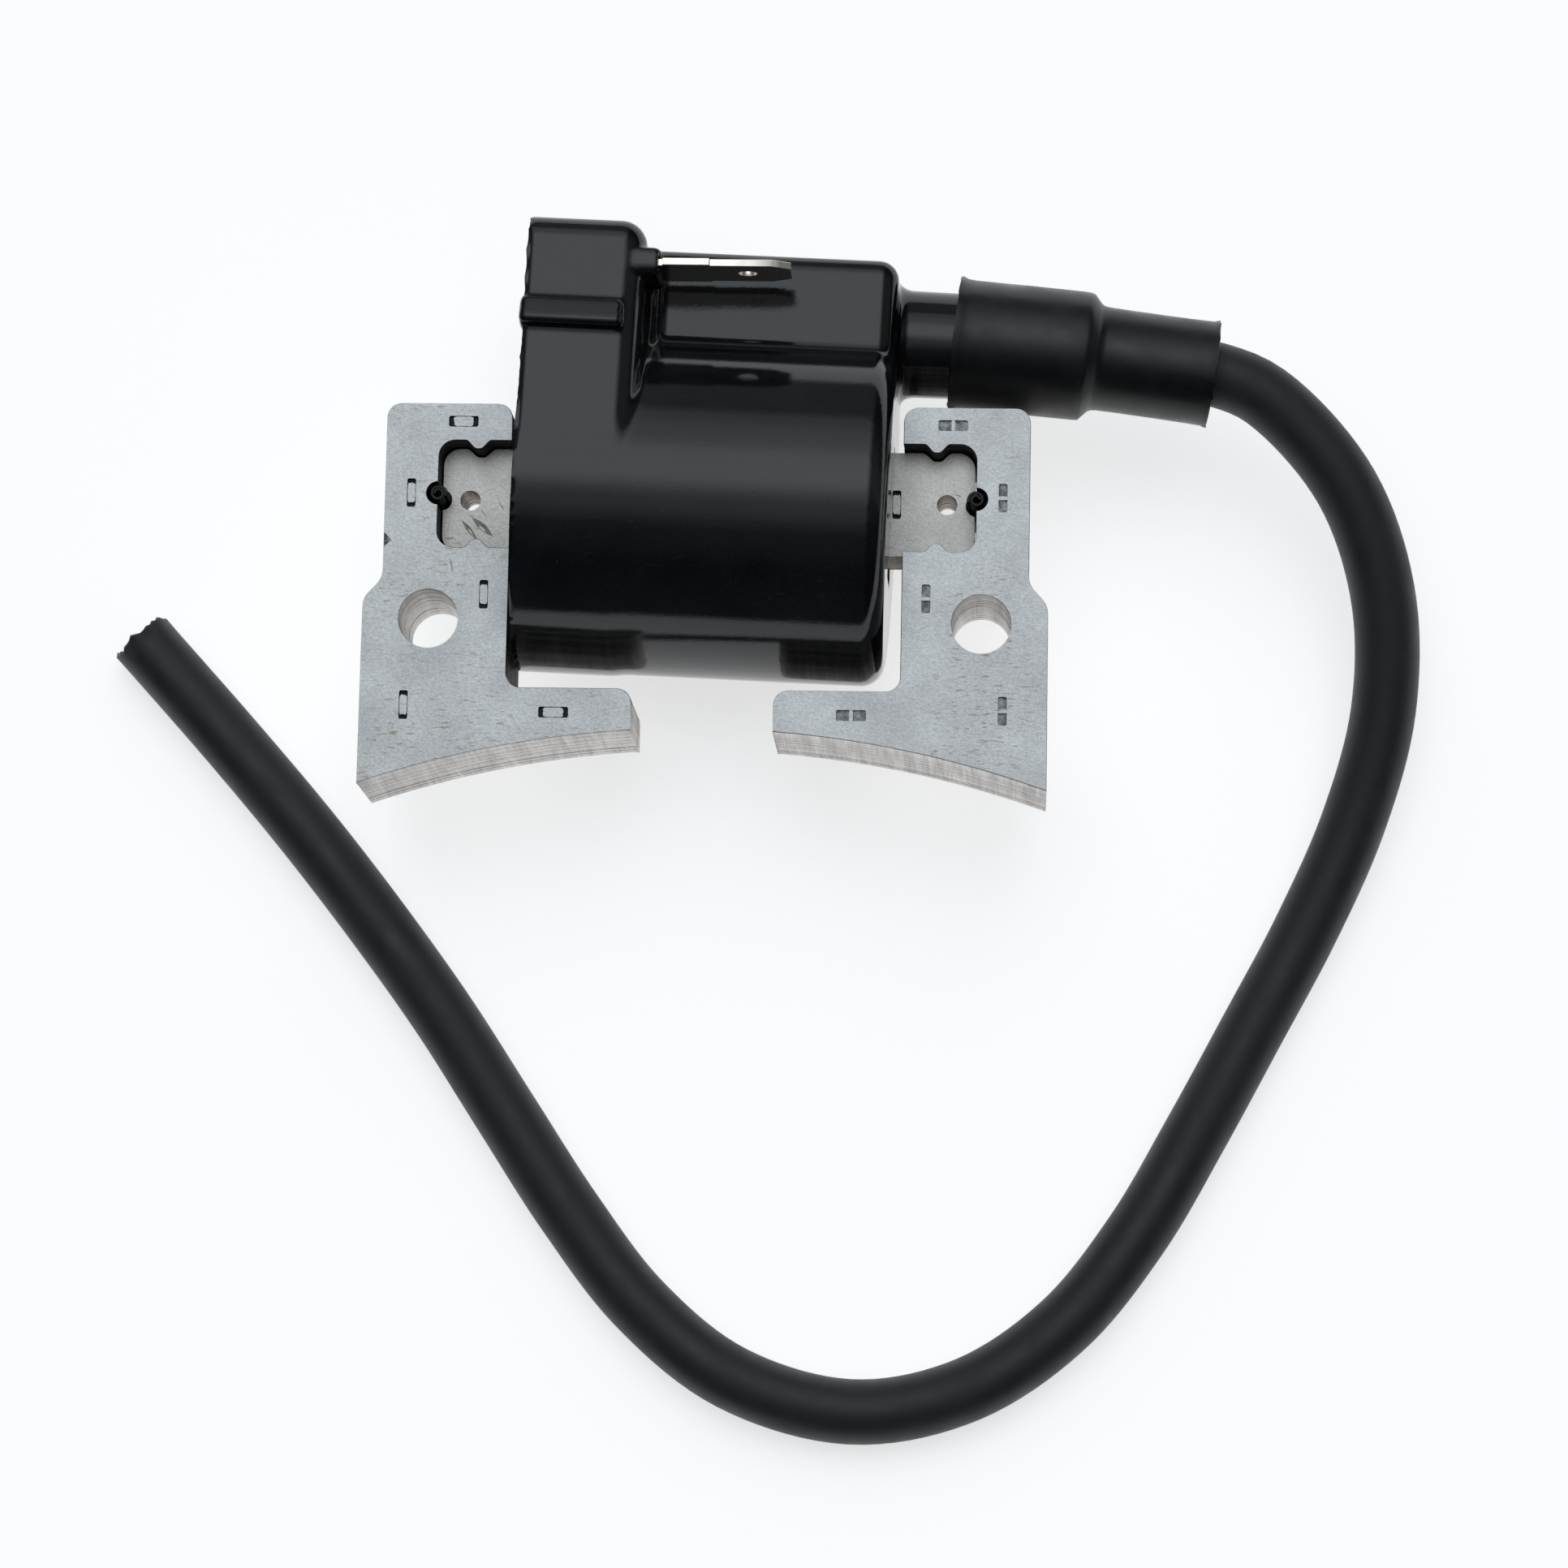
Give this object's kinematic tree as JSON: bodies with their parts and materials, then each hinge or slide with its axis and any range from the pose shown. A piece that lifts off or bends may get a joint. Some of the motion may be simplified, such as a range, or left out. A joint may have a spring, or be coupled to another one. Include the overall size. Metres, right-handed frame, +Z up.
{
  "type": "ignition coil",
  "caption": "Small-engine ignition coil: laminated pole legs and core bar, black potted housing with a spade terminal, rubber boot and a short high-tension lead with a bare cut end.",
  "frame": {"origin": "centre of the bounding box of everything but the boot and the lead, at the lowest point of the housing, which is the bench that the part lies on", "axes": "+Z up, normal to the laminations; +Y away from the flywheel, so the concave pole faces look to -Y; +X to the side of the high-tension tower"},
  "size_m": [0.1455, 0.1299, 0.0385],
  "materials": {
    "pole_steel": "cold-rolled electrical steel, cool grey, fine grain",
    "core_steel": "electrical steel, warm grey",
    "spring_steel": "blackened spring steel",
    "moulding": "glossy black moulded nylon",
    "resin": "cast black epoxy",
    "bobbin_plastic": "natural glass-filled polyester",
    "copper_wire": "enamelled copper",
    "fine_wire": "fine enamelled copper",
    "tin_plate": "bright tin plate",
    "board_laminate": "green glass-epoxy laminate",
    "component_case": "black epoxy case",
    "capacitor_case": "dipped ceramic",
    "boot_rubber": "satin black rubber",
    "lead_jacket": "matte black rubber jacket"
  },
  "bodies": {
    "root": {"capacitor": "capacitor_case", "circuit_board": "board_laminate", "core_back_lamination": "core_steel", "core_front_lamination": "core_steel", "core_lamination_stack": "core_steel", "diode": "component_case", "driver_chip": "component_case", "ground_strap": "tin_plate", "high_tension_lead": "lead_jacket", "high_tension_link": "copper_wire", "high_tension_spike": "tin_plate", "housing_shell": "moulding", "lead_conductor": "copper_wire", "left_leg_back_lamination": "pole_steel", "left_leg_front_lamination": "pole_steel", "left_leg_lamination_stack": "pole_steel", "left_spring_pin": "spring_steel", "mouth_potting": "resin", "power_transistor": "component_case", "primary_bobbin": "bobbin_plastic", "primary_winding": "copper_wire", "resistor": "component_case", "right_leg_back_lamination": "pole_steel", "right_leg_front_lamination": "pole_steel", "right_leg_lamination_stack": "pole_steel", "right_spring_pin": "spring_steel", "rubber_boot": "boot_rubber", "secondary_bobbin": "bobbin_plastic", "secondary_winding_1": "fine_wire", "secondary_winding_2": "fine_wire", "secondary_winding_3": "fine_wire", "secondary_winding_4": "fine_wire", "secondary_winding_5": "fine_wire", "secondary_winding_6": "fine_wire", "terminal_blade": "tin_plate", "winding_potting": "resin"}
  },
  "joints": []
}
